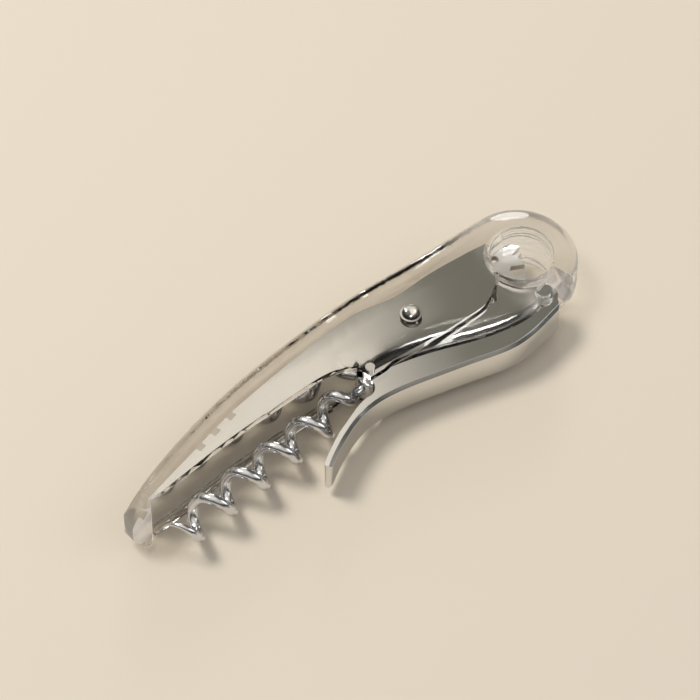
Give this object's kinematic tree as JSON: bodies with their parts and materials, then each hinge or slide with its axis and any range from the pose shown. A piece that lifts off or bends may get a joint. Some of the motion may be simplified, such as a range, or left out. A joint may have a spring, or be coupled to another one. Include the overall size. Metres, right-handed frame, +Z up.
{
  "type": "lever corkscrew",
  "caption": "Waiter's-type lever corkscrew, folded: clear curved handle over polished steel, two-step side lever, hinged worm, and a head hole with a toothed foil cutter.",
  "frame": {"origin": "on the flat of the underside, 9.2 mm towards the back from the worm hinge axis", "axes": "+X from the tail to the head, +Y towards the back edge, +Z up through the thickness"},
  "size_m": [0.1491, 0.0414, 0.0163],
  "materials": {
    "clear": "clear moulded plastic, glossy",
    "mirror_steel": "mirror polished",
    "worm_chrome": "bright chrome",
    "cutter_steel": "satin stamped steel",
    "pin_steel": "satin",
    "plain_steel": "as turned",
    "lug_plastic": "glossy"
  },
  "bodies": {
    "handle": {"upper_clear_shell": "clear", "lower_clear_shell": "clear", "upper_frame_plate": "mirror_steel", "lower_frame_plate": "mirror_steel", "worm_trough_strip": "mirror_steel", "back_spring": "mirror_steel", "frame_spacers": "plain_steel", "plate_lugs": "lug_plastic", "body_rivet_upper": "pin_steel", "body_rivet_lower": "pin_steel", "spring_pin": "pin_steel", "cutter_plate": "cutter_steel", "cutter_dowels": "plain_steel", "lever_pivot_pin": "pin_steel", "worm_pivot_pin": "pin_steel", "worm_washers": "plain_steel"},
    "lever": {"lever_arm": "mirror_steel", "lever_bush": "plain_steel", "lever_stop_pin": "pin_steel"},
    "worm": {"worm": "worm_chrome", "worm_hub": "worm_chrome", "worm_bush": "plain_steel"}
  },
  "joints": [
    {"name": "lever_hinge", "type": "hinge", "parent": "handle", "child": "lever", "pos_m": [0.0522, -0.0168, 0.00815], "axis": [0, 0, 1], "range_deg": [0, 120]},
    {"name": "worm_hinge", "type": "hinge", "parent": "handle", "child": "worm", "pos_m": [0, -0.0092, 0.00815], "axis": [0, 0, 1], "range_deg": [0, 90]}
  ],
  "couplings": [
    {"joint": "worm_hinge", "follows": "lever_hinge", "ratio": 0.75}
  ]
}
